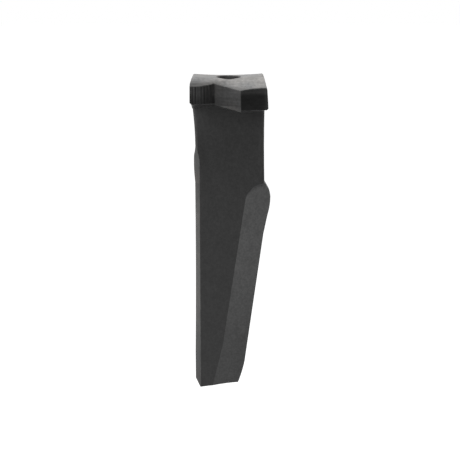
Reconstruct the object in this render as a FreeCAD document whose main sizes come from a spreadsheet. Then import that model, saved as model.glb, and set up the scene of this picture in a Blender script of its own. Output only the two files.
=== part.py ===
"""Power harrow tine: one forged piece, a keyed head on a waisted neck and a bevelled blade.

Millimetres. +Z points up along the tine with the head on top, +X runs across the blade and the
front is at -Y. The origin is on the axis of the head's bore, where its wall begins below the
chamfered mouth. Depths are measured from the lowest point of the head's hollowed top.
"""
import FreeCAD, Part
import math
import os

import Sketcher

SIZES = [
    # head, seen from above
    ("head_half_width", 35.05, "middle to end of the head, at its underside"),
    ("seat_reach", 22.6, "bore axis to the front at the outer corner of the seat face"),
    ("cheek_reach", 24.3, "bore axis to the front at the outer corner of the cheek face"),
    ("notch_across", 12.8, "bore axis to the re-entrant corner, across"),
    ("notch_reach", 18.3, "bore axis to the front at the re-entrant corner"),
    ("peak_across", 10.6, "bore axis to the foremost corner, across"),
    ("peak_reach", 28.0, "bore axis to the front at the foremost corner"),
    ("seat_radius", 50.0, "bulged seat face between outer corner and notch"),
    ("cheek_radius", 66.0, "hollow face between peak and outer corner"),
    # head, seen from the side
    ("shelf_depth", 21.5, "top of the head down to the underside of its thin part"),
    ("block_depth", 26.3, "top of the head down to the underside of its thick part"),
    ("end_cut", 1.4, "bevel of the head's lower edges at its two ends"),
    ("head_inset", 1.15, "draft: how far the head's sides lean in from their foot to the top"),
    ("head_lean", 0.7, "how far the head's top sits to the left of its foot"),
    ("crest_left", 3.15, "left end of the head in to where its top rolls over"),
    ("crest_left_rise", 1.3, "height of the top's left end over its middle"),
    ("crest_right", 4.85, "right end of the head in to where its top rolls over"),
    ("crest_right_rise", 1.7, "height of the top's right end over its middle"),
    ("crest_radius", 3.0, "roll-over of the top at its ends"),
    ("saddle_radius", 325.0, "hollow of the top from end to end"),
    ("cap_left", 1.25, "left end of the head in to the foot of the roll-over"),
    ("cap_left_fall", 0.7, "depth of that foot"),
    ("cap_left_foot", 9.9, "depth of the left slant where it has left the head"),
    ("cap_right", 3.05, "right end of the head in to the foot of the roll-over"),
    ("cap_right_fall", 0.5, "depth of that foot"),
    ("cap_right_foot", 18.0, "depth of the right slant where it has left the head"),
    ("crown_front", 10.4, "bore axis to the front end of the level land"),
    ("crown_back", 15.4, "bore axis to the back end of the level land"),
    ("crown_drop", 9.0, "fall of the top from the land's front to the foremost corner"),
    ("crown_front_round", 14.0, "rounding between the land and the front slope"),
    ("crown_back_round", 4.0, "rounding between the land and the back slope"),
    # corbels that lead the head's overhang down to the neck
    ("lip_corner", 0.3, "lip below the underside at the outer corner of the thin part"),
    ("lip_notch", 0.9, "lip below the underside at the notch"),
    ("lip_peak", 1.2, "lip below the underside of the thick part at the peak"),
    ("lip_far", 0.3, "lip below the underside at the outer corner of the thick part"),
    ("lip_inset", 0.4, "how far the lips lean in to their lower edge"),
    ("foot_corner", 27.4, "depth of the corbel's foot at the outer corner of the thin part"),
    ("foot_notch", 25.4, "depth of the corbel's foot at the notch"),
    ("foot_peak", 31.0, "depth of the corbel's foot at the peak"),
    ("foot_far", 30.2, "depth of the corbel's foot at the outer corner of the thick part"),
    ("corbel_inset", 3.5, "lower edge of the thick part in to its corbel"),
    ("corbel_root", 6.5, "how deep a corbel sits in the neck"),
    # bore
    ("bore_radius", 11.2, "blind bore in the head"),
    ("bore_depth", 15.0, "top of the head down to the end of the bore's full width"),
    ("bore_tip", 5.0, "depth of the conical bottom of the bore"),
    ("bore_chamfer", 0.5, "chamfer at the mouth of the bore"),
    # neck
    ("tine_thickness", 17.0, "neck and middle of the blade from front to back"),
    ("neck_round", 3.2, "rounding of the neck's long edges"),
    ("neck_root", 18.8, "top of the head down to the buried end of the neck"),
    ("neck_left", 34.3, "axis to the left side of the neck at its buried end"),
    ("waist_left", 31.4, "axis to the left side of the neck at its waist"),
    ("waist_depth", 62.8, "top of the head down to the waist"),
    ("neck_right", 32.8, "axis to the right side of the neck at its buried end"),
    ("neck_hollow", 1500.0, "radius of the neck's hollow right side"),
    # blade
    ("tine_length", 320.1, "top of the head down to the lowest corner of the blade"),
    ("strip_top", 61.8, "top of the head down to the start of the left bevel"),
    ("strip_settle", 80.8, "top of the head down to where the left crease runs straight"),
    ("strip_radius", 47.0, "run-out of the left crease"),
    ("left_crease_top", 27.4, "axis to the left crease, at the top of the bevel"),
    ("left_crease_end", 29.8, "axis to the left crease, at the end of the blade"),
    ("left_edge_top", 33.4, "axis to the left bevel's outer line, at its top"),
    ("left_edge_end", 35.3, "axis to the left bevel's outer line, at the end of the blade"),
    ("left_edge_thickness", 3.0, "thickness at the left bevel's outer line"),
    ("wing_top", 98.0, "top of the head down to where the wing leaves the neck"),
    ("wing_root", 33.7, "axis to where the wing leaves the neck"),
    ("wing_radius", 21.0, "arched head of the right bevel"),
    ("wing_settle", 112.8, "top of the head down to where the right crease runs straight"),
    ("right_crease_top", 15.9, "axis to the right crease, at its arched head"),
    ("knee_depth", 268.8, "top of the head down to the bend of the right bevel"),
    ("right_crease_knee", -6.2, "axis to the right crease, at its bend"),
    ("right_crease_end", -17.9, "axis to the right crease, at the end of the blade"),
    ("right_edge_top", 43.2, "axis to the right bevel's outer line, at its top"),
    ("right_edge_knee", 19.6, "axis to the right bevel's outer line, at its bend"),
    ("right_edge_end", 13.0, "axis to the right bevel's outer line, at the end of the blade"),
    ("right_edge_thickness", 5.0, "thickness at the right bevel's outer line"),
    ("bevel_root", 3.0, "how far a bevel's stock reaches into the plate"),
    # outline of the blade
    ("wing_shoulder_across", 37.2, "axis to the top of the wing's shoulder"),
    ("wing_shoulder_depth", 104.0, "depth of the top of the wing's shoulder"),
    ("wing_shoulder_radius", 18.0, "rounding of the wing's shoulder"),
    ("wing_tip_across", 39.8, "axis to the widest place of the wing"),
    ("wing_tip_depth", 113.8, "depth of the widest place of the wing"),
    ("wing_tip_radius", 68.0, "rounding below the widest place"),
    ("wing_back_across", 37.3, "axis to the end of that rounding"),
    ("wing_back_depth", 131.3, "depth of the end of that rounding"),
    ("taper_start_across", 33.6, "axis to the start of the straight taper"),
    ("taper_start_depth", 150.8, "depth of the start of the straight taper"),
    ("taper_end_across", 16.25, "axis to the end of the straight taper"),
    ("taper_end_depth", 292.3, "depth of the end of the straight taper"),
    ("toe_radius", 137.0, "eased corner at the end of the taper"),
    ("toe_across", 9.4, "axis to the toe, the right corner of the blade's end"),
    ("toe_depth", 317.3, "depth of the toe"),
    ("heel_across", 30.4, "axis to the heel, the lowest corner of the blade"),
    ("heel_rise", 8.0, "height of the cut across the heel's outer side"),
    ("bulge_radius", 47.0, "hollow where the left bevel leaves the waist"),
    ("bulge_across", 32.9, "axis to the top of the left bevel's shoulder"),
    ("bulge_depth", 71.8, "depth of the top of the left bevel's shoulder"),
    ("bulge_end_radius", 150.0, "shoulder of the left bevel"),
    ("bulge_end_across", 32.2, "axis to the end of that shoulder"),
    ("bulge_end_depth", 97.8, "depth of the end of that shoulder"),
    ("left_end_across", 35.8, "axis to the lower end of the blade's left side"),
    ("left_side_radius", 9500.0, "slight hollow of the blade's left side"),
    ("end_radius", 180.0, "hollow of the blade's cut end"),
    ("blade_excess", 2.0, "stock below the lowest corner, cut off with the end"),
    ("clearance", 20.0, "how far the cuts reach past the tine"),
]


def fill_sheet(doc):
    """The spreadsheet of driving sizes, one aliased plain number a row."""
    sheet = doc.addObject("Spreadsheet::Sheet", "Size")
    for row, (alias, value, note) in enumerate(SIZES, start=1):
        sheet.set("A%d" % row, alias)
        sheet.set("B%d" % row, str(value))
        sheet.set("C%d" % row, note)
        sheet.setAlias("B%d" % row, alias)
    doc.recompute()


def add_sketch(body, name, role, offset=None):
    """An empty sketch on one of the body's origin planes, moved along the plane's normal."""
    sketch = body.newObject("Sketcher::SketchObject", name)
    plane = next(item for item in body.Origin.OriginFeatures if item.Role == role)
    sketch.AttachmentSupport = [(plane, "")]
    sketch.MapMode = "FlatFace"
    if offset:
        sketch.setExpression("AttachmentOffset.Base.z", offset)
    return sketch


def arc_between(start, end, radius, turn):
    """The short arc from start to end that turns left (turn 1) or right (turn -1)."""
    chord = end - start
    middle = (start + end) * 0.5
    left = FreeCAD.Vector(-chord.y, chord.x, 0).normalize()
    rise = math.sqrt(radius ** 2 - (chord.Length / 2) ** 2)
    centre = middle + left * rise * turn
    first, last = (start, end) if turn > 0 else (end, start)
    angles = [math.atan2(point.y - centre.y, point.x - centre.x) for point in (first, last)]
    circle = Part.Circle(centre, FreeCAD.Vector(0, 0, 1), radius)
    return Part.ArcOfCircle(circle, angles[0], angles[1])


def draw_outline(sketch, corners, bends=None):
    """A closed outline through the corners, each a pair of expressions of the sheet's sizes.

    bends holds the sides that are arcs: the side's number, its radius as an expression and the
    way it turns, 1 to the left or -1 to the right. Every corner and radius is bound to the sheet.
    """
    bends = bends or {}
    count = len(corners)
    places = [FreeCAD.Vector(*(float(sketch.evalExpression(word)) for word in corner), 0)
              for corner in corners]
    ends = []
    for side in range(count):
        start, end = places[side], places[(side + 1) % count]
        if side in bends:
            radius, turn = bends[side]
            arc = arc_between(start, end, float(sketch.evalExpression(radius)), turn)
            line = sketch.addGeometry(arc)
            ends.append((1, 2) if turn > 0 else (2, 1))
            rule = sketch.addConstraint(Sketcher.Constraint("Radius", line, arc.Radius))
            sketch.setExpression("Constraints[%d]" % rule, radius)
        else:
            sketch.addGeometry(Part.LineSegment(start, end))
            ends.append((1, 2))
    for side in range(count):
        before = side - 1 if side else count - 1
        sketch.addConstraint(Sketcher.Constraint("Coincident", before, ends[before][1],
                                                 side, ends[side][0]))
        for way, word, value in (("DistanceX", corners[side][0], places[side].x),
                                 ("DistanceY", corners[side][1], places[side].y)):
            rule = sketch.addConstraint(Sketcher.Constraint(way, -1, 1, side, ends[side][0], value))
            sketch.setExpression("Constraints[%d]" % rule, word)
    return sketch


def add_pad(body, name, sketch, length, symmetric=False):
    """Material from the sketch along its normal, or half to each side of it."""
    pad = body.newObject("PartDesign::Pad", name)
    pad.Profile = sketch
    pad.setExpression("Length", length)
    if symmetric:
        pad.SideType = "Symmetric"
    return pad


def add_cut(body, name, sketch):
    """Everything within the sketch's outline taken away, to both sides of its plane."""
    cut = body.newObject("PartDesign::Pocket", name)
    cut.Profile = sketch
    cut.Type = "ThroughAll"
    cut.Type2 = "ThroughAll"
    cut.SideType = "Two sides"
    return cut


def add_loft(body, name, sections):
    """Straight-ruled material through the sections."""
    loft = body.newObject("PartDesign::AdditiveLoft", name)
    loft.Profile = sections[0]
    loft.Sections = sections[1:]
    loft.Ruled = True
    return loft


def add_fillet(body, name, base, chosen, radius):
    """Rounding of the chosen edges of the feature before it."""
    fillet = body.newObject("PartDesign::Fillet", name)
    fillet.Base = (base, chosen)
    fillet.setExpression("Radius", radius)
    return fillet


def edges_where(feature, wanted):
    """Names of the feature's edges that the test picks out."""
    return ["Edge%d" % number for number, edge in enumerate(feature.Shape.Edges, start=1)
            if wanted(edge)]


BLADE_END = "-(Size.tine_length + Size.blade_excess)"


def build_core(body, size):
    """Neck and middle of the blade: one plate with its long edges rounded."""
    fall = "(Size.waist_depth - Size.neck_root)"
    narrowing = "(Size.neck_left - Size.waist_left)"
    waist_radius = "(%s^2 + %s^2) / (2 * %s)" % (fall, narrowing, narrowing)
    sketch = draw_outline(add_sketch(body, "CoreOutline", "XZ_Plane"), [
        ("-Size.neck_left", "-Size.neck_root"),
        ("-Size.waist_left", "-Size.waist_depth"),
        ("-Size.waist_left", BLADE_END),
        ("Size.wing_root", BLADE_END),
        ("Size.wing_root", "-Size.wing_top"),
        ("Size.neck_right", "-Size.neck_root"),
    ], {0: (waist_radius, -1), 4: ("Size.neck_hollow", -1)})
    plate = add_pad(body, "CorePlate", sketch, "Size.tine_thickness", symmetric=True)
    body.Document.recompute()

    def is_long_edge(edge):
        box = edge.BoundBox
        return box.ZLength > size("waist_depth") / 2 and box.YLength < size("neck_round") / 2

    return add_fillet(body, "NeckRound", plate, edges_where(plate, is_long_edge),
                      "Size.neck_round")


def crease_line(top, end, start_depth, depth):
    """Place across of a straight crease at a depth, from its places at its two ends."""
    share = "(%s - %s) / (Size.tine_length + Size.blade_excess - %s)" % (depth, start_depth,
                                                                      start_depth)
    return "(%s + (%s - %s) * %s)" % (top, end, top, share)


def bevel_section(body, name, depth, crease, edge, root, thickness):
    """Section of a bevel's stock, from its root within the plate over the crease to its edge."""
    inner = "%s - (%s)" % (crease, root)
    return draw_outline(add_sketch(body, name, "XY_Plane", depth), [
        (inner, "-Size.tine_thickness / 2"),
        (crease, "-Size.tine_thickness / 2"),
        (edge, "-%s / 2" % thickness),
        (edge, "%s / 2" % thickness),
        (crease, "Size.tine_thickness / 2"),
        (inner, "Size.tine_thickness / 2"),
    ])


def build_left_bevel(body):
    """The narrow bevel on the left: a relief beside the plate and a wedge that fills it."""
    settled = crease_line("Size.left_crease_top", "Size.left_crease_end", "Size.strip_top",
                          "Size.strip_settle")
    outside = "-(Size.head_half_width + Size.clearance)"
    relief = draw_outline(add_sketch(body, "LeftCrease", "XZ_Plane"), [
        ("-Size.waist_left - Size.neck_round / 20", "-Size.strip_top"),
        ("-" + settled, "-Size.strip_settle"),
        ("-Size.left_crease_end", BLADE_END),
        (outside, BLADE_END),
        (outside, "-Size.strip_top"),
    ], {0: ("Size.strip_radius", -1)})
    add_cut(body, "LeftRelief", relief)
    sections = []
    for name, depth, crease, edge in (
            ("LeftBevelTop", "-Size.strip_top", "left_crease_top", "left_edge_top"),
            ("LeftBevelEnd", BLADE_END, "left_crease_end", "left_edge_end")):
        sections.append(bevel_section(body, name, depth, "-Size." + crease, "-Size." + edge,
                                      "-Size.bevel_root", "Size.left_edge_thickness"))
    return add_loft(body, "LeftBevel", sections)


def build_right_bevel(body):
    """The broad bevel on the right: a relief with an arched head and a wedge that fills it."""
    outside = "Size.wing_tip_across + Size.clearance"
    relief = draw_outline(add_sketch(body, "RightCrease", "XZ_Plane"), [
        ("Size.wing_root + Size.neck_round / 20", "-Size.wing_top"),
        ("Size.right_crease_top", "-Size.wing_settle"),
        ("Size.right_crease_knee", "-Size.knee_depth"),
        ("Size.right_crease_end", BLADE_END),
        (outside, BLADE_END),
        (outside, "-Size.wing_top"),
    ], {0: ("Size.wing_radius", 1)})
    add_cut(body, "RightRelief", relief)
    slope = "(Size.right_crease_top - Size.right_crease_knee) / (Size.knee_depth - Size.wing_settle)"
    crease_start = "Size.right_crease_top + (Size.wing_settle - Size.wing_top) * " + slope
    sections = []
    for name, depth, crease, edge in (
            ("RightBevelTop", "-Size.wing_top", crease_start, "Size.right_edge_top"),
            ("RightBevelKnee", "-Size.knee_depth", "Size.right_crease_knee", "Size.right_edge_knee"),
            ("RightBevelEnd", BLADE_END, "Size.right_crease_end", "Size.right_edge_end")):
        sections.append(bevel_section(body, name, depth, crease, edge, "Size.bevel_root",
                                      "Size.right_edge_thickness"))
    return add_loft(body, "RightBevel", sections)


def trim_blade(body):
    """The blade's outline: the wing's shoulder and taper, the left side and the cut end."""
    right = "Size.wing_tip_across + Size.clearance"
    left = "-(Size.head_half_width + Size.clearance)"
    below = "-(Size.tine_length + Size.clearance)"
    wing = draw_outline(add_sketch(body, "WingOutline", "XZ_Plane"), [
        ("Size.wing_root", "-Size.wing_top"),
        ("Size.wing_shoulder_across", "-Size.wing_shoulder_depth"),
        ("Size.wing_tip_across", "-Size.wing_tip_depth"),
        ("Size.wing_back_across", "-Size.wing_back_depth"),
        ("Size.taper_start_across", "-Size.taper_start_depth"),
        ("Size.taper_end_across", "-Size.taper_end_depth"),
        ("Size.toe_across", "-Size.toe_depth"),
        ("Size.toe_across", below),
        (right, below),
        (right, "-Size.wing_top"),
    ], {1: ("Size.wing_shoulder_radius", -1), 2: ("Size.wing_tip_radius", -1),
        5: ("Size.toe_radius", -1)})
    add_cut(body, "WingTrim", wing)
    side = draw_outline(add_sketch(body, "LeftOutline", "XZ_Plane"), [
        ("-Size.waist_left", "-Size.strip_top"),
        ("-Size.bulge_across", "-Size.bulge_depth"),
        ("-Size.bulge_end_across", "-Size.bulge_end_depth"),
        ("-Size.left_end_across", "-(Size.tine_length - Size.heel_rise)"),
        ("-Size.heel_across", "-Size.tine_length"),
        ("-Size.heel_across", below),
        (left, below),
        (left, "-Size.strip_top"),
    ], {0: ("Size.bulge_radius", -1), 1: ("Size.bulge_end_radius", 1),
        2: ("Size.left_side_radius", -1)})
    add_cut(body, "LeftTrim", side)
    end = draw_outline(add_sketch(body, "BladeEnd", "XZ_Plane"), [
        ("-Size.heel_across", "-Size.tine_length"),
        ("Size.toe_across", "-Size.toe_depth"),
        (right, "-Size.toe_depth"),
        (right, below),
        (left, below),
        (left, "-Size.tine_length"),
    ], {0: ("Size.end_radius", -1)})
    return add_cut(body, "EndTrim", end)


def plan_corners(inset="0", lean="0"):
    """The head's outline from above: the front corners, then the same turned half round.

    The sides stand in by the inset, and the whole outline is moved to the left by the lean.
    """
    front = [
        ("-(Size.head_half_width - %s)" % inset, "-(Size.seat_reach - %s)" % inset),
        ("-Size.notch_across", "-(Size.notch_reach - %s)" % inset),
        ("Size.peak_across", "-(Size.peak_reach - %s)" % inset),
        ("Size.head_half_width - %s" % inset, "-(Size.cheek_reach - %s)" % inset),
    ]
    back = [("-(%s)" % across, "-(%s)" % reach) for across, reach in front]
    return [("%s - %s" % (across, lean), reach) for across, reach in front + back]


def build_head(body):
    """The keyed head: a drafted block, thicker on one side of each face, on corbels."""
    seats = {0: ("Size.seat_radius", 1), 2: ("Size.cheek_radius", -1)}
    bends = dict(seats)
    bends.update({side + 4: bend for side, bend in seats.items()})
    foot = draw_outline(add_sketch(body, "HeadFoot", "XY_Plane", "-Size.shelf_depth"),
                        plan_corners(), bends)
    top = draw_outline(add_sketch(body, "HeadTop", "XY_Plane", "2 * Size.crest_right_rise"),
                       plan_corners("Size.head_inset", "Size.head_lean"), bends)
    add_loft(body, "HeadBlock", [foot, top])
    inner = "-(Size.tine_thickness / 2 - Size.corbel_root)"
    draft = "Size.head_inset / (Size.shelf_depth + 2 * Size.crest_right_rise)"
    spread = "(Size.block_depth - Size.shelf_depth) * " + draft
    thick = []
    for name, depth, grown in (("ThickFoot", "-Size.block_depth", spread),
                               ("ThickTop", "-Size.shelf_depth", "0")):
        thick.append(draw_outline(add_sketch(body, name, "XY_Plane", depth), [
            ("Size.peak_across", "-(Size.peak_reach + %s)" % grown),
            ("Size.head_half_width + %s" % grown, "-(Size.cheek_reach + %s)" % grown),
            ("Size.head_half_width + %s" % grown, inner),
            ("Size.peak_across", inner),
        ], {0: ("Size.cheek_radius", -1)}))
    repeated = [add_loft(body, "ThickPart", thick)]
    face = "-Size.tine_thickness / 2"

    def corbel_section(name, across, reach, depth, lip, foot):
        return draw_outline(add_sketch(body, name, "YZ_Plane", across), [
            ("-(%s)" % reach, "-Size." + depth),
            ("-(%s - Size.lip_inset)" % reach, "-(%s)" % lip),
            (face, "-Size." + foot),
            (inner, "-Size." + foot),
            (inner, "-Size." + depth),
        ])

    shelf = "Size.shelf_depth"
    block = "Size.block_depth"
    outer = "Size.neck_left - Size.neck_round / 4"
    lofts = (
        ("ThinCorbel", (("-(%s)" % outer, "Size.seat_reach", "shelf_depth",
                         shelf + " + Size.lip_corner", "foot_corner"),
                        ("-Size.notch_across", "Size.notch_reach", "shelf_depth",
                         shelf + " + Size.lip_notch", "foot_notch"))),
        ("PeakCorbel", (("-Size.notch_across", "Size.notch_reach", "shelf_depth",
                         shelf + " + Size.lip_notch", "foot_notch"),
                        ("Size.peak_across", "Size.peak_reach", "shelf_depth",
                         block + " + Size.lip_peak", "foot_peak"))),
        ("ThickCorbel", (("Size.peak_across", "Size.peak_reach", "block_depth",
                          block + " + Size.lip_peak", "foot_peak"),
                         ("Size.neck_right - Size.neck_round / 4",
                          "Size.cheek_reach - Size.corbel_inset", "block_depth",
                          block + " + Size.lip_far", "foot_far"))),
    )
    for name, stations in lofts:
        sections = [corbel_section("%sSection%d" % (name, number), *station)
                    for number, station in enumerate(stations, start=1)]
        repeated.append(add_loft(body, name, sections))
    for name, end, depth in (("ThinEnd", "-Size.head_half_width", "Size.shelf_depth"),
                             ("ThickEnd", "(Size.head_half_width + %s)" % spread, "Size.block_depth")):
        outward = "- Size.end_cut" if name == "ThinEnd" else "+ Size.end_cut"
        inward = "+ Size.end_cut" if name == "ThinEnd" else "- Size.end_cut"
        bevel = draw_outline(add_sketch(body, name + "Bevel", "XZ_Plane", inner), [
            ("%s %s" % (end, inward), "-(%s + Size.end_cut)" % depth),
            ("%s %s" % (end, inward), "-" + depth),
            (end, "-(%s - Size.end_cut)" % depth),
            ("%s %s" % (end, outward), "-(%s - Size.end_cut)" % depth),
            ("%s %s" % (end, outward), "-(%s + Size.end_cut)" % depth),
        ])
        cut = add_cut(body, name, bevel)
        cut.SideType = "One side"
        cut.Reversed = True
        repeated.append(cut)
    body.Document.recompute()
    turned = body.newObject("PartDesign::PolarPattern", "BackHalf")
    turned.Originals = repeated
    axis = next(item for item in body.Origin.OriginFeatures if item.Role == "Z_Axis")
    turned.Axis = (axis, [""])
    turned.Angle = 360
    turned.Occurrences = 2
    body.Tip = turned
    return turned


def shape_top(body, size):
    """The head's top: a roof with a level land, hollowed from end to end."""
    slope = "(Size.crown_drop / (Size.peak_reach - Size.crown_front))"
    ridge = "(Size.crown_back - Size.crown_front) / 2"
    reach = "(Size.peak_reach + Size.clearance)"
    above = "Size.crown_back * %s + Size.clearance" % slope
    roof = draw_outline(add_sketch(body, "Roof", "YZ_Plane"), [
        ("-" + reach, "-(%s - Size.crown_front) * %s" % (reach, slope)),
        (ridge, "(Size.crown_front + Size.crown_back) / 2 * " + slope),
        (reach, "-(%s - Size.crown_back) * %s" % (reach, slope)),
        (reach, above),
        ("-" + reach, above),
    ])
    add_cut(body, "RoofCut", roof)
    end = "(Size.head_half_width + Size.end_cut)"
    saddle = draw_outline(add_sketch(body, "Saddle", "XZ_Plane"), [
        ("-" + end, "-Size.cap_left_foot"),
        ("-(Size.head_half_width - Size.cap_left)", "-Size.cap_left_fall"),
        ("-(Size.head_half_width - Size.crest_left)", "Size.crest_left_rise"),
        ("Size.head_half_width - Size.crest_right", "Size.crest_right_rise"),
        ("Size.head_half_width - Size.cap_right", "-Size.cap_right_fall"),
        (end, "-Size.cap_right_foot"),
        (end, above),
        ("-" + end, above),
    ], {1: ("Size.crest_radius", -1), 2: ("Size.saddle_radius", 1), 3: ("Size.crest_radius", -1)})
    saddle_cut = add_cut(body, "SaddleCut", saddle)
    body.Document.recompute()

    def is_land_edge(edge):
        """A long edge between the land and a slope, which crosses the head from left to right."""
        box = edge.BoundBox
        return box.XLength > size("head_half_width") and abs(edge.CenterOfMass.z) < size("crest_right_rise")

    fillet = saddle_cut
    for name, side, radius in (("FrontCrown", -1, "Size.crown_front_round"),
                               ("BackCrown", 1, "Size.crown_back_round")):
        chosen = edges_where(fillet, lambda edge: is_land_edge(edge) and edge.CenterOfMass.y * side > 0)
        fillet = add_fillet(body, name, fillet, chosen, radius)
        body.Document.recompute()
    return fillet


def build_bore(body):
    """The blind bore from the middle of the top, chamfered at its mouth."""
    mouth = "Size.crest_right_rise + Size.bore_chamfer"
    profile = draw_outline(add_sketch(body, "BoreProfile", "XZ_Plane"), [
        ("0", "-(Size.bore_depth + Size.bore_tip)"),
        ("Size.bore_radius", "-Size.bore_depth"),
        ("Size.bore_radius", "-Size.bore_chamfer"),
        ("Size.bore_radius + Size.bore_chamfer + " + mouth, mouth),
        ("0", mouth),
    ])
    bore = body.newObject("PartDesign::Groove", "Bore")
    bore.Profile = profile
    axis = next(item for item in body.Origin.OriginFeatures if item.Role == "Z_Axis")
    bore.ReferenceAxis = (axis, [""])
    bore.Angle = 360
    return bore


def build_tine(doc):
    """The whole tine as one body."""
    sheet = doc.getObject("Size")
    body = doc.addObject("PartDesign::Body", "Tine")
    body.Label = "tine"
    body.setExpression("Placement.Base.z", "Size.bore_chamfer")

    def size(alias):
        return float(sheet.get(alias))

    build_core(body, size)
    build_left_bevel(body)
    build_right_bevel(body)
    trim_blade(body)
    build_head(body)
    shape_top(body, size)
    build_bore(body)
    return body


def check(doc, bodies):
    """Stops on a feature that failed or a shape that isn't one valid solid."""
    for item in doc.Objects:
        if {"Invalid", "Error"} & set(item.State):
            raise RuntimeError("%s is %s: %s" % (item.Name, item.State, item.getStatusString()))
    for body in bodies:
        if body.Shape.isNull() or not body.Shape.isValid() or len(body.Shape.Solids) != 1:
            raise RuntimeError("%s has no valid solid" % body.Label)


def main():
    doc = FreeCAD.newDocument("PowerHarrowTine")
    fill_sheet(doc)
    bodies = [build_tine(doc)]
    doc.recompute()
    check(doc, bodies)
    os.makedirs("parts", exist_ok=True)
    for body in bodies:
        body.Shape.exportStep("parts/%s.step" % body.Label)
        box = body.Shape.optimalBoundingBox()
        print("%s: %.1f x %.1f x %.1f mm, %.0f cm3, %.2f kg in steel" % (
            body.Label, box.XLength, box.YLength, box.ZLength, body.Shape.Volume / 1000,
            body.Shape.Volume * 7.85e-6))


main()
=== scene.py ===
"""Power harrow tine: dark paint over forged steel, in a plain pale studio."""
import math

import bpy
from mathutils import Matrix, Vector

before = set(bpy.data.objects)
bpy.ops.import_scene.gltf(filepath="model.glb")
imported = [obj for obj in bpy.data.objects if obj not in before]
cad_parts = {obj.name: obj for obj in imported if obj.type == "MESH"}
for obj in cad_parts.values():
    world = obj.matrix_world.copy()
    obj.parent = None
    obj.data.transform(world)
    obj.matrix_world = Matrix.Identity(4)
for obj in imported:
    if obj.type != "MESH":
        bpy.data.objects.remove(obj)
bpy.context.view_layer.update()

# Lengths are in metres and levels of grey are linear. The head's back is its front turned half
# round, so its places are told by lengths that hold for both: ACROSS is to the right of the bore
# as seen from the nearer side, and REACH is out from the middle towards that side. FACING is a
# component of the surface's normal. A pair is where a change begins and where it ends, and a TONE
# is what the paint is multiplied by at those two.

# camera, fitted to the picture
CAMERA_X = 0.00146
CAMERA_BACK = 0.640
CAMERA_ABOVE_BORE = 0.0794
CAMERA_DOWN_DEG = 19.55
FOCAL_PIXELS = 692.0
PICTURE_PIXELS = 460.0
SENSOR_MM = 36.0
CENTRE_OFF_PIXELS = 0.5

# floor, sky and lamp
FLOOR_Z = -0.60
FLOOR_SIZE = 24
FLOOR_COLOR = 0.8
FLOOR_GLOW = 0.50
SKY_TOP = 0.72
SKY_TOP_SPAN = (0.15, 0.8)
SKY_BACK = 0.8
SKY_BACK_SPAN = (-0.3, 0.5)
SKY_LEFT = 0.72
SKY_LEFT_SPAN = (0.1, -0.8)
SKY_FRONT = 0.12
SOFTBOX_PLACE = (-1.0, -0.5, 0.5)
SOFTBOX_AIM = (0, 0, -0.1)
SOFTBOX_SIZE = 0.9
SOFTBOX_WATTS = 12

# neck and blade, with painted shade on the neck and painted light on its left and right edges
NECK_PAINT = 0.0245
BLADE_PAINT = 0.0305
NECK_TO_BLADE_Z = (-0.06, -0.14)
NECK_LIGHT = 0.011
LEFT_LIGHT_ACROSS = (-0.010, -0.032)
LEFT_LIGHT_FOOT_Z = (-0.062, -0.040)
LEFT_LIGHT_HEAD_Z = (-0.0235, -0.0265)
LEFT_LIGHT_FACING = (-0.30, -0.05)
RIGHT_LIGHT_ACROSS = (0.022, 0.034)
RIGHT_LIGHT_FOOT_Z = (-0.095, -0.085)

# painted light on the blade's broad bevel on the right, fading down the blade
BEVEL_TOP = 0.090
BEVEL_END = 0.058
BEVEL_FADE_Z = (-0.16, -0.31)
BEVEL_HEAD_Z = (-0.0975, -0.0990)
BEVEL_FACING_FROM = (0.10, 0.16)
BEVEL_FACING_TO = (0.60, 0.45)

# painted light on the blade's narrow strip on the left, brightest part way down and along its middle
STRIP_TOP = 0.042
STRIP_MIDDLE = 0.068
STRIP_END = 0.031
STRIP_RISE_Z = (-0.09, -0.14)
STRIP_FADE_Z = (-0.21, -0.30)
STRIP_HEAD_Z = (-0.060, -0.066)
STRIP_FACING = (-0.35, -0.45)
STRIP_REACH = (0.0070, 0.0020)
STRIP_TONE = (0.95, 1.35)

# painted highlight on the neck's rounded edges
ROLLED_LIGHT = 0.012
ROLLED_FACING_FROM = (0.15, 0.40)
ROLLED_FACING_TO = (0.90, 0.70)
ROLLED_FOOT_Z = (-0.0985, -0.0975)

# sides of the head
UPRIGHT_FACING = (0.55, 0.45)
FRONTAL_FACING = (0.70, 0.60)
FLANK_REACH = (0.0150, 0.0155)

# the slanted face, from the notch to the foremost corner, with the lip below it: painted shade towards the
# notch and low down, painted light on the lip, and painted shade along the crease above the lip
FACE_NOTCH = 0.022
FACE_PEAK = 0.040
FACE_ACROSS = (-0.012, 0.010)
FACE_Z = (-0.020, -0.009)
FACE_TONE = (0.85, 1.15)
LIP_PAINTED_LIGHT = 0.043
LIP_Z = (-0.0222, -0.0230)
CREASE_HEAD_Z = (-0.0208, -0.0213)
CREASE_FOOT_Z = (-0.0223, -0.0218)
CREASE_SHADE = 0.3
BRUSHED_SPAN = (0.35, 0.65)
BRUSHED_TONE = (0.84, 1.16)

# the scored seat, left of the notch, with painted shade towards the notch, deepest in the notch, and low down
SEAT_END = 0.0185
SEAT_NOTCH = 0.013
SEAT_ACROSS = (-0.036, -0.012)
SEAT_EDGE_ACROSS = (-0.0120, -0.0132)
SEAT_Z = (-0.021, -0.009)
SEAT_TONE = (0.6, 1.3)
NOTCH_ACROSS = (-0.0175, -0.0140)
NOTCH_Z = (-0.018, -0.011)
NOTCH_TONE = (0.2, 0.8)
SCORE_SPAN = (0.33, 0.65)
SCORE_TONE = (0.4, 1.75)
SCORE_RADIANS_PER_METRE = 2500.0
SCORE_WANDER = 6.0
SCORE_WAVE = 0.08

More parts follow.
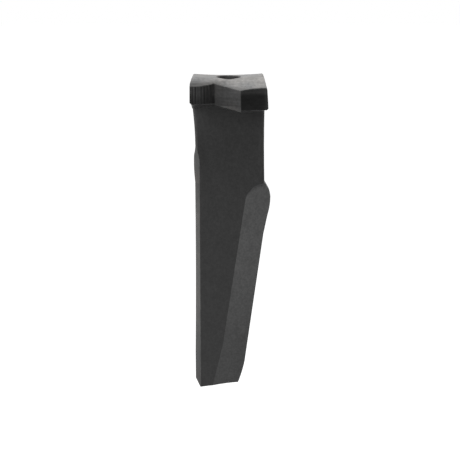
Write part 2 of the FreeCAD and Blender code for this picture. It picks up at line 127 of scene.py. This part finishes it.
# the hollow cheek, right of the foremost corner, in painted shade, with painted light at its top and at its
# far end
CHEEK_SHADE = 0.005
CHEEK_LIGHT = 0.018
CHEEK_EDGE_ACROSS = (0.0102, 0.0110)
CHEEK_TOP_Z = (-0.0140, -0.0090)
CHEEK_END_ACROSS = (0.0300, 0.0350)

# rubbed top, with painted shade down its slopes
TOP_LEFT = 0.33
TOP_RIGHT = 0.287
TOP_ACROSS = (-0.020, 0.008)
TOP_FOOT_Z = (-0.014, -0.012)
TOP_FACING = (0.12, 0.85)
RIM_RADIUS = 0.0020
RIDGE_Y = (0.005, -0.005)
LEFT_TO_RIGHT_ACROSS = (-0.014, 0.008)
LEFT_SLOPE_REACH = (0.021, 0.008)
LEFT_SLOPE_TONE = (0.30, 1.0)
RIGHT_SLOPE_REACH = (0.029, 0.017)
RIGHT_SLOPE_TONE = (0.60, 1.12)
LAND_REACH = (0.008, 0.012)
LAND_TONE = (0.90, 1.0)
STREAK_TONE = (0.86, 1.14)
TOP_BLOTCH_TONE = (0.90, 1.10)

# bore, with painted light on the left of its wall and painted shade on the right
BORE = 0.09
BORE_RADIUS = (0.0119, 0.0117)
BORE_MOUTH_Z = (0.0002, -0.0002)
BORE_FOOT_Z = (-0.0220, -0.0210)
BORE_X = (-0.006, 0.008)
BORE_TONE = (1.5, 0.40)

# wear with a painted edge highlight, and gloss
NODE_SAMPLES = 8
EDGE_RADIUS = 0.0007
EDGE_WEAR_AND_HIGHLIGHT = 0.05
SHARP_SPAN = (0.995, 0.93)
WORN_SPAN = (0.35, 0.6)
OPEN_AIR_DISTANCE = 0.004
OPEN_AIR_SPAN = (0.75, 0.95)
RUST_SPAN = (0.35, 0.60)
RUST_WARMTH = (0.0, 0.03)
ROUGHNESS_SPAN = (0.6, 1.4)
ROUGHNESS = (0.32, 0.52)
SPECULAR = 0.19

# noise: grains per metre along x, y and z, the tones it gives, and the depth of its bumps
NOISE_SPAN = (0.3, 0.7)
FINE_GRAIN = (420.0, 420.0, 420.0)
FINE_TONE = (0.85, 1.15)
FINE_DEPTH = 0.0002
SCALE_GRAIN = (150.0, 150.0, 110.0)
SCALE_TONE = (0.95, 1.05)
SCALE_DEPTH = 0.0008
BLOTCH_GRAIN = (45.0, 45.0, 30.0)
BLOTCH_TONE = (0.93, 1.07)
STREAK_GRAIN = (60.0, 600.0, 600.0)
BRUSHED_GRAIN = (30.0, 30.0, 600.0)
SCORE_GRAIN = (650.0, 100.0, 25.0)
SCORE_DEPTH = 0.0006
BUMP_STRENGTH = 0.5
SCORE_BUMP_STRENGTH = 0.7


def make_camera():
    data = bpy.data.cameras.new("camera")
    data.sensor_width = SENSOR_MM
    data.lens = FOCAL_PIXELS / PICTURE_PIXELS * SENSOR_MM
    data.shift_x = -CENTRE_OFF_PIXELS / PICTURE_PIXELS
    data.shift_y = CENTRE_OFF_PIXELS / PICTURE_PIXELS
    camera = bpy.data.objects.new("camera", data)
    camera.location = (CAMERA_X, -CAMERA_BACK, CAMERA_ABOVE_BORE)
    camera.rotation_euler = (math.radians(90 - CAMERA_DOWN_DEG), 0, 0)
    bpy.context.scene.collection.objects.link(camera)
    bpy.context.scene.camera = camera
    bpy.context.scene.view_settings.view_transform = "Standard"


class Tree:
    """Shader nodes, built by short calls. Values that are sockets are linked, others are set."""

    def __init__(self, tree):
        self.tree = tree
        tree.nodes.clear()

    def add(self, kind, settings=None, **inputs):
        node = self.tree.nodes.new("ShaderNode" + kind)
        for name, value in (settings or {}).items():
            setattr(node, name, value)
        for name, value in inputs.items():
            self.feed(node.inputs[name.replace("_", " ")], value)
        return node

    def feed(self, socket, value):
        if isinstance(value, bpy.types.NodeSocket):
            self.tree.links.new(value, socket)
        else:
            socket.default_value = value

    def math(self, operation, *values):
        node = self.add("Math", {"operation": operation})
        for socket, value in zip(node.inputs, values):
            self.feed(socket, value)
        return node.outputs[0]

    def fold(self, operation, values):
        """One operation on two values, carried on over more of them."""
        result = values[0]
        for value in values[1:]:
            result = self.math(operation, result, value)
        return result

    def product(self, *factors):
        return self.fold("MULTIPLY", factors)

    def highest(self, *values):
        return self.fold("MAXIMUM", values)

    def ramp(self, value, span, result=(0.0, 1.0)):
        """The value carried smoothly from the span to the two results."""
        node = self.add("MapRange", {"interpolation_type": "SMOOTHSTEP"}, Value=value)
        for name, number in zip(("From Min", "From Max", "To Min", "To Max"), span + result):
            node.inputs[name].default_value = number
        return node.outputs[0]

    def pick(self, share, first, second):
        """The first number at a share of 0, the second at 1."""
        node = self.add("Mix", {"data_type": "FLOAT"})
        for socket, value in zip((node.inputs[0], node.inputs[2], node.inputs[3]), (share, first, second)):
            self.feed(socket, value)
        return node.outputs[0]

    def noise(self, place, grain, detail=3.0, roughness=0.55):
        stretched = self.add("Mapping", Vector=place, Scale=grain).outputs[0]
        node = self.add("TexNoise", Vector=stretched, Scale=1.0, Detail=detail, Roughness=roughness)
        return node.outputs[0]


class Finish(Tree):
    """The tine's paint, with the places and the noise that its parts are told by."""

    def __init__(self, tree):
        super().__init__(tree)
        place = self.add("TexCoord").outputs["Object"]
        self.x, self.y, self.z = self.add("SeparateXYZ", Vector=place).outputs
        self.normal = self.add("NewGeometry").outputs["Normal"]
        self.facing_x, _, self.facing_z = self.add("SeparateXYZ", Vector=self.normal).outputs
        self.reach = self.math("ABSOLUTE", self.y)
        self.across = self.math("MULTIPLY", self.x, self.math("SIGN", self.math("MULTIPLY", self.y, -1.0)))
        self.fine = self.noise(place, FINE_GRAIN, detail=4.0, roughness=0.6)
        self.scale = self.noise(place, SCALE_GRAIN)
        self.blotches = self.noise(place, BLOTCH_GRAIN)
        self.streaks = self.noise(place, STREAK_GRAIN)
        self.brushed = self.noise(place, BRUSHED_GRAIN, roughness=0.6)
        self.scores = self.make_scores(self.noise(place, SCORE_GRAIN, roughness=0.7))

    def make_scores(self, uneven):
        """Upright scores at nearly even steps."""
        steps = self.math("MULTIPLY", self.across, SCORE_RADIANS_PER_METRE)
        waves = self.math("SINE", self.math("MULTIPLY_ADD", uneven, SCORE_WANDER, steps))
        return self.math("MULTIPLY_ADD", waves, SCORE_WAVE, uneven)

    def rounded(self, radius):
        """The normal as it would be with edges rounded to a radius."""
        return self.add("Bevel", {"samples": NODE_SAMPLES}, Radius=radius).outputs[0]

    def paint_bar(self):
        """Neck and blade, with painted shade on the neck, painted light on its left and right, on the bevel
        and on the strip, and a painted highlight on the rounded edges. Gives the level of grey and the shares
        of strip and of rounded edge.
        """
        # painted shade: the neck darker than the blade below it
        level = self.ramp(self.z, NECK_TO_BLADE_Z, (NECK_PAINT, BLADE_PAINT))
        # painted light on the upper left of the neck, fading under the head
        left_light = self.product(
            self.ramp(self.across, LEFT_LIGHT_ACROSS), self.ramp(self.z, LEFT_LIGHT_FOOT_Z),
            self.ramp(self.z, LEFT_LIGHT_HEAD_Z), self.ramp(self.facing_x, LEFT_LIGHT_FACING))
        level = self.math("MULTIPLY_ADD", left_light, NECK_LIGHT, level)
        # painted light on the neck's right edge, half as strong
        right_light = self.product(
            self.ramp(self.across, RIGHT_LIGHT_ACROSS), self.ramp(self.z, RIGHT_LIGHT_FOOT_Z))
        level = self.math("MULTIPLY_ADD", right_light, NECK_LIGHT / 2, level)

        # painted light on the bevel, fading down the blade
        bevel = self.product(
            self.ramp(self.facing_x, BEVEL_FACING_FROM), self.ramp(self.facing_x, BEVEL_FACING_TO),
            self.ramp(self.z, BEVEL_HEAD_Z))
        level = self.pick(bevel, level, self.ramp(self.z, BEVEL_FADE_Z, (BEVEL_TOP, BEVEL_END)))

        # painted light on the strip
        strip = self.product(self.ramp(self.facing_x, STRIP_FACING), self.ramp(self.z, STRIP_HEAD_Z))
        upper = self.ramp(self.z, STRIP_RISE_Z, (STRIP_TOP, STRIP_MIDDLE))
        shade = self.pick(self.ramp(self.z, STRIP_FADE_Z), upper, STRIP_END)
        level = self.pick(strip, level, self.product(shade, self.ramp(self.reach, STRIP_REACH, STRIP_TONE)))

        # painted highlight along the neck's rounded edges
        turned = self.math("ABSOLUTE", self.facing_x)
        rolled_highlight = self.product(
            self.ramp(turned, ROLLED_FACING_FROM), self.ramp(turned, ROLLED_FACING_TO),
            self.ramp(self.z, ROLLED_FOOT_Z))
        return self.math("MULTIPLY_ADD", rolled_highlight, ROLLED_LIGHT, level), strip, rolled_highlight

    def paint_flanks(self, level):
        """The sides of the head: slanted face with its lip, hollow cheek and scored seat, each with painted
        light and shade.

        Gives the level of grey and the share of seat.
        """
        upright = self.ramp(self.math("ABSOLUTE", self.facing_z), UPRIGHT_FACING)
        frontal = self.ramp(self.math("ABSOLUTE", self.facing_x), FRONTAL_FACING)
        flank = self.product(upright, frontal, self.ramp(self.reach, FLANK_REACH))

        # painted shade towards the notch and low down, painted light towards the foremost corner and high up
        face = self.product(
            self.ramp(self.across, FACE_ACROSS, (FACE_NOTCH, FACE_PEAK)),
            self.ramp(self.z, FACE_Z, FACE_TONE))
        # painted light on the lip
        face = self.pick(self.ramp(self.z, LIP_Z), face, LIP_PAINTED_LIGHT)
        # painted shade along the crease above the lip
        crease = self.product(self.ramp(self.z, CREASE_HEAD_Z), self.ramp(self.z, CREASE_FOOT_Z))
        face = self.product(face, self.math("MULTIPLY_ADD", crease, -CREASE_SHADE, 1.0))

        # painted shade on the cheek, with painted light at its top and far end
        cheek = self.math(
            "ADD", self.ramp(self.z, CHEEK_TOP_Z, (CHEEK_SHADE, CHEEK_SHADE + CHEEK_LIGHT)),
            self.ramp(self.across, CHEEK_END_ACROSS, (0.0, CHEEK_LIGHT)))
        face = self.pick(self.ramp(self.across, CHEEK_EDGE_ACROSS), face, cheek)
        face = self.product(face, self.ramp(self.brushed, BRUSHED_SPAN, BRUSHED_TONE))

        # painted shade in the notch, deepest low down
        notch = self.pick(self.ramp(self.across, NOTCH_ACROSS), 1.0, self.ramp(self.z, NOTCH_Z, NOTCH_TONE))
        # painted shade on the seat, darker towards the notch and low down
        seat = self.product(
            self.ramp(self.across, SEAT_ACROSS, (SEAT_END, SEAT_NOTCH)), self.ramp(self.z, SEAT_Z, SEAT_TONE),
            notch, self.ramp(self.scores, SCORE_SPAN, SCORE_TONE))
        on_seat = self.ramp(self.across, SEAT_EDGE_ACROSS)
        face = self.pick(on_seat, face, seat)
        return self.pick(flank, level, face), self.product(flank, on_seat)

    def paint_top(self, level):
        """The rubbed top, with painted shade darker down its slopes, and a soft change over its ridge and at
        its rim.

        Gives the level of grey and the share of top.
        """
        rim_z = self.add("SeparateXYZ", Vector=self.rounded(RIM_RADIUS)).outputs[2]
        top = self.product(self.ramp(rim_z, TOP_FACING), self.ramp(self.z, TOP_FOOT_Z))
        across = self.math("MULTIPLY", self.x, self.ramp(self.y, RIDGE_Y, (-1.0, 1.0)))
        # painted shade down the top's slopes, and a little darker on the land by the bore on the right
        left = self.ramp(self.reach, LEFT_SLOPE_REACH, LEFT_SLOPE_TONE)
        right = self.product(
            self.ramp(self.reach, RIGHT_SLOPE_REACH, RIGHT_SLOPE_TONE),
            self.ramp(self.reach, LAND_REACH, LAND_TONE))
        mottle = self.product(
            self.ramp(self.streaks, NOISE_SPAN, STREAK_TONE),
            self.ramp(self.blotches, NOISE_SPAN, TOP_BLOTCH_TONE))
        steel = self.product(
            self.ramp(across, TOP_ACROSS, (TOP_LEFT, TOP_RIGHT)),
            self.pick(self.ramp(across, LEFT_TO_RIGHT_ACROSS), left, right), mottle)
        return self.pick(top, level, steel), top

    def paint_bore(self, level):
        """The bore's wall and bottom, with painted light on the left and painted shade on the right, the side
        that the softbox lights.
        """
        squares = self.math("ADD", self.product(self.x, self.x), self.product(self.y, self.y))
        bore = self.product(
            self.ramp(self.math("SQRT", squares), BORE_RADIUS), self.ramp(self.z, BORE_MOUTH_Z),
            self.ramp(self.z, BORE_FOOT_Z))
        # painted light on the left of the bore and painted shade on the right
        return self.pick(bore, level, self.math("MULTIPLY", BORE, self.ramp(self.x, BORE_X, BORE_TONE)))

    def wear(self, level, edges):
        """Mottles the paint and lightens an edge where it stands in the open, as paint rubbed off and as a
        painted highlight.
        """
        sharpness = self.add("VectorMath", {"operation": "DOT_PRODUCT"})
        self.feed(sharpness.inputs[0], edges)
        self.feed(sharpness.inputs[1], self.normal)
        open_air = self.add("AmbientOcclusion", {"samples": NODE_SAMPLES}, Distance=OPEN_AIR_DISTANCE)
        # edges in the open lightened: paint rubbed off, and a painted highlight
        wear_and_highlight = self.product(
            self.ramp(sharpness.outputs["Value"], SHARP_SPAN), self.ramp(self.scale, WORN_SPAN),
            self.ramp(open_air.outputs["AO"], OPEN_AIR_SPAN))
        level = self.product(
            level, self.ramp(self.blotches, NOISE_SPAN, BLOTCH_TONE),
            self.ramp(self.fine, NOISE_SPAN, FINE_TONE), self.ramp(self.scale, NOISE_SPAN, SCALE_TONE))
        return self.math("MULTIPLY_ADD", wear_and_highlight, EDGE_WEAR_AND_HIGHLIGHT, level)

    def color(self, level, rust_share):
        """The grey, with a breath of rust in blotches on the top, the strip and the neck's rounded edges."""
        warmth = self.math("MULTIPLY", rust_share, self.ramp(self.blotches, RUST_SPAN, RUST_WARMTH))
        red = self.math("MULTIPLY", level, self.math("ADD", warmth, 1.0))
        blue = self.math("MULTIPLY", level, self.math("SUBTRACT", 1.0, warmth))
        return self.add("CombineXYZ", X=red, Y=level, Z=blue).outputs[0]

    def bumps(self, edges, seat):
        """The normal with rounded edges, grain, forging scale and the seats' scores."""
        grain = self.add("Bump", Strength=BUMP_STRENGTH, Distance=FINE_DEPTH, Height=self.fine, Normal=edges)
        scale = self.add(
            "Bump", Strength=BUMP_STRENGTH, Distance=SCALE_DEPTH, Height=self.scale, Normal=grain.outputs[0])
        scores = self.math("MULTIPLY", self.scores, seat)
        return self.add(
            "Bump", Strength=SCORE_BUMP_STRENGTH, Distance=SCORE_DEPTH, Height=scores,
            Normal=scale.outputs[0]).outputs[0]


def dark_paint():
    """Dark paint over forged steel: scored seats, rubbed top and rubbed edges, with painted light on the
    bevel, strip and edges and painted light and shade on the neck, head, top and bore.
    """
    material = bpy.data.materials.new("dark_paint")
    material.use_nodes = True
    finish = Finish(material.node_tree)
    level, strip, rolled_highlight = finish.paint_bar()
    level, seat = finish.paint_flanks(level)
    level, top = finish.paint_top(level)
    level = finish.paint_bore(level)
    edges = finish.rounded(EDGE_RADIUS)
    level = finish.wear(level, edges)
    rust_share = finish.math("ADD", top, finish.math("ADD", strip, rolled_highlight))
    gloss_noise = finish.math("ADD", finish.blotches, finish.fine)
    shader = finish.add(
        "BsdfPrincipled", Base_Color=finish.color(level, rust_share),
        Roughness=finish.ramp(gloss_noise, ROUGHNESS_SPAN, ROUGHNESS), Normal=finish.bumps(edges, seat))
    shader.inputs["Specular IOR Level"].default_value = SPECULAR
    finish.add("OutputMaterial", Surface=shader.outputs[0])
    return material


def grey(level):
    return (level, level, level, 1.0)


def make_floor():
    """A white floor well below the tine, which keeps the tine's soft shadow."""
    bpy.ops.mesh.primitive_plane_add(size=FLOOR_SIZE, location=(0, 0, FLOOR_Z))
    floor = bpy.context.object
    floor.name = "floor"
    material = bpy.data.materials.new("white_floor")
    material.use_nodes = True
    tree = Tree(material.node_tree)
    rays = tree.add("LightPath").outputs
    seen = tree.highest(rays["Is Camera Ray"], rays["Is Glossy Ray"], rays["Is Transmission Ray"])
    glow = tree.add("Emission", Strength=tree.math("MULTIPLY", seen, FLOOR_GLOW))
    lit = tree.add("BsdfDiffuse", Color=grey(FLOOR_COLOR))
    both = tree.add("AddShader")
    tree.feed(both.inputs[0], lit.outputs[0])
    tree.feed(both.inputs[1], glow.outputs[0])
    tree.add("OutputMaterial", Surface=both.outputs[0])
    floor.data.materials.append(material)


def make_world():
    """A pale room: white overhead and behind, dimmer in front towards the right."""
    world = bpy.data.worlds.new("studio")
    world.use_nodes = True
    bpy.context.scene.world = world
    tree = Tree(world.node_tree)
    way_x, way_y, way_z = tree.add("SeparateXYZ", Vector=tree.add("TexCoord").outputs["Generated"]).outputs
    high = tree.math("MULTIPLY", tree.ramp(way_z, SKY_TOP_SPAN), SKY_TOP)
    behind = tree.math("MULTIPLY", tree.ramp(way_y, SKY_BACK_SPAN), SKY_BACK)
    left = tree.math("MULTIPLY", tree.ramp(way_x, SKY_LEFT_SPAN), SKY_LEFT)
    seen = tree.add("LightPath").outputs["Is Camera Ray"]
    level = tree.highest(high, behind, left, SKY_FRONT, seen)
    background = tree.add("Background", Color=grey(1.0), Strength=level)
    tree.add("OutputWorld", Surface=background.outputs[0])


def add_softbox():
    data = bpy.data.lights.new("softbox_left", "AREA")
    data.shape = "SQUARE"
    data.size = SOFTBOX_SIZE
    data.energy = SOFTBOX_WATTS
    lamp = bpy.data.objects.new("softbox_left", data)
    lamp.location = SOFTBOX_PLACE
    lamp.rotation_euler = (Vector(SOFTBOX_AIM) - lamp.location).to_track_quat("-Z", "Y").to_euler()
    bpy.context.scene.collection.objects.link(lamp)


make_camera()
paint = dark_paint()
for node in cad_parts.values():
    node.data.materials.clear()
    node.data.materials.append(paint)
make_floor()
make_world()
add_softbox()
